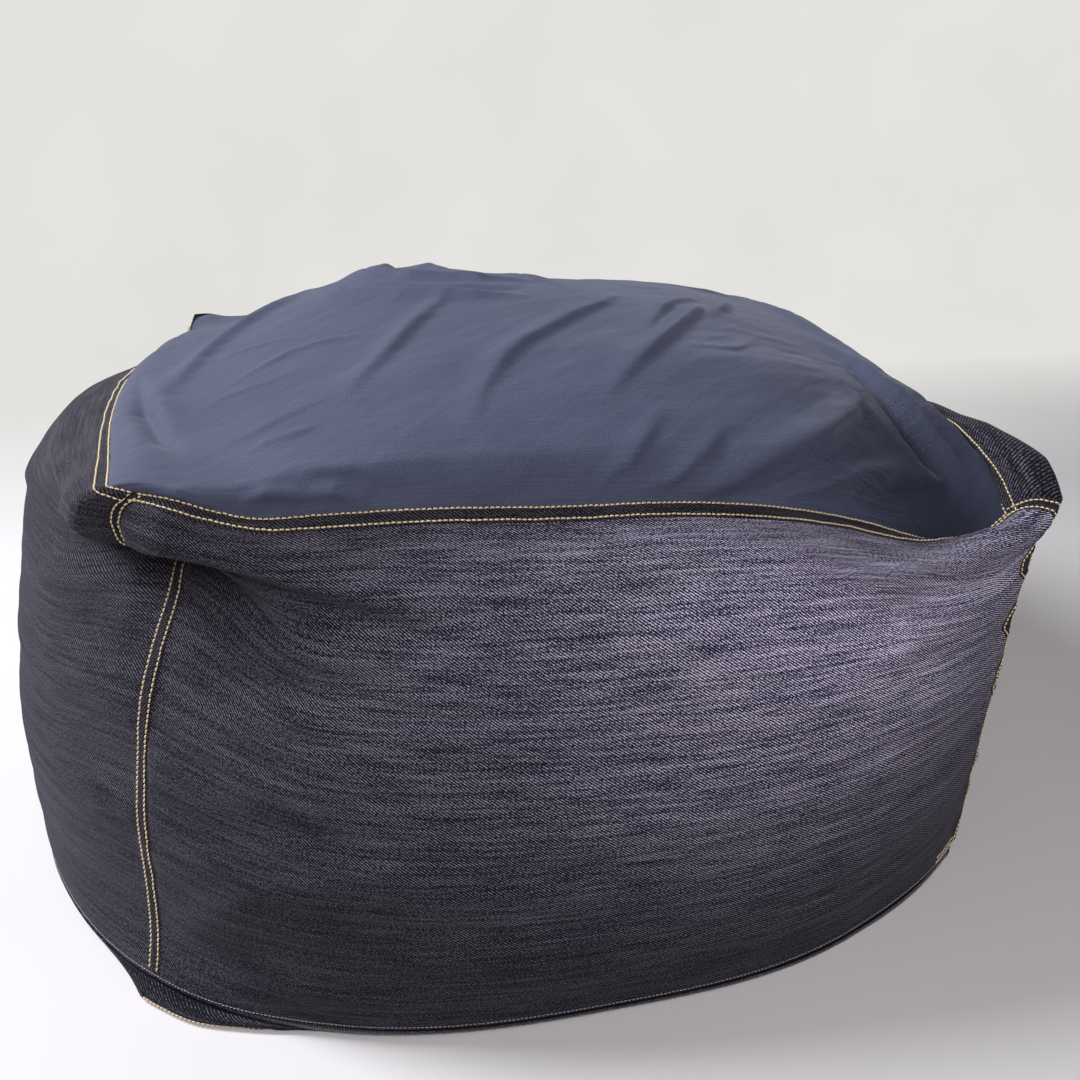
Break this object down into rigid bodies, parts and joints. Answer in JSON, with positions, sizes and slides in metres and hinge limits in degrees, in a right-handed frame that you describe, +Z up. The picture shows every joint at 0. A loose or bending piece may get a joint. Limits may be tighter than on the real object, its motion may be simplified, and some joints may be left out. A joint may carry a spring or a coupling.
{
  "type": "bean bag chair",
  "caption": "Square floor bean bag chair: denim sides and a domed stretch-knit top, a zip round the foot, and a bead-filled liner inside.",
  "frame": {"origin": "centre of the base panel's underside, on the floor", "axes": "+Z up, -Y the front side, +X to the right as seen from the front"},
  "size_m": [0.8272, 0.8273, 0.4246],
  "materials": {
    "stretch_knit": "matte jersey knit",
    "denim": "slub denim twill",
    "topstitch_thread": "twisted thread",
    "hem_thread": "thin thread",
    "zip_tape": "woven tape",
    "zip_coil": "satin nylon",
    "zip_metal": "black paint",
    "liner_cloth": "plain weave",
    "beads": "expanded foam"
  },
  "bodies": {
    "bag": {"back_gusset": "denim", "back_left_seam": "denim", "back_panel": "denim", "back_right_seam": "denim", "base_hinge_strip": "denim", "base_panel": "denim", "base_seam_stitching": "topstitch_thread", "bead_filling": "beads", "corner_seam_stitching": "topstitch_thread", "front_gusset": "denim", "front_left_seam": "denim", "front_panel": "denim", "front_right_seam": "denim", "left_gusset": "denim", "left_panel": "denim", "liner_back": "liner_cloth", "liner_base": "liner_cloth", "liner_filling_seam": "liner_cloth", "liner_front": "liner_cloth", "liner_left": "liner_cloth", "liner_right": "liner_cloth", "liner_top": "liner_cloth", "right_gusset": "denim", "right_panel": "denim", "top_panel": "stretch_knit", "top_seam": "denim", "top_seam_stitching": "topstitch_thread", "zip_coil_lower": "zip_coil", "zip_coil_upper": "zip_coil", "zip_end_stop": "zip_metal", "zip_hem_stitching": "hem_thread", "zip_tape_lower": "zip_tape", "zip_tape_upper": "zip_tape", "zip_top_stops": "zip_metal"},
    "zip_slider": {"zip_slider": "zip_metal"},
    "pull_tab": {"zip_pull_tab": "zip_metal"}
  },
  "joints": [
    {"name": "zip_slider_run", "type": "hinge", "parent": "bag", "child": "zip_slider", "pos_m": [0, -0.11013, 0.022], "axis": [0, 0, 1], "range_deg": [0, 65.51]},
    {"name": "pull_tab_swing", "type": "hinge", "parent": "zip_slider", "child": "pull_tab", "pos_m": [0.28051, 0.32586, 0.022], "axis": [0, 0, -1], "range_deg": [0, 170]}
  ]
}
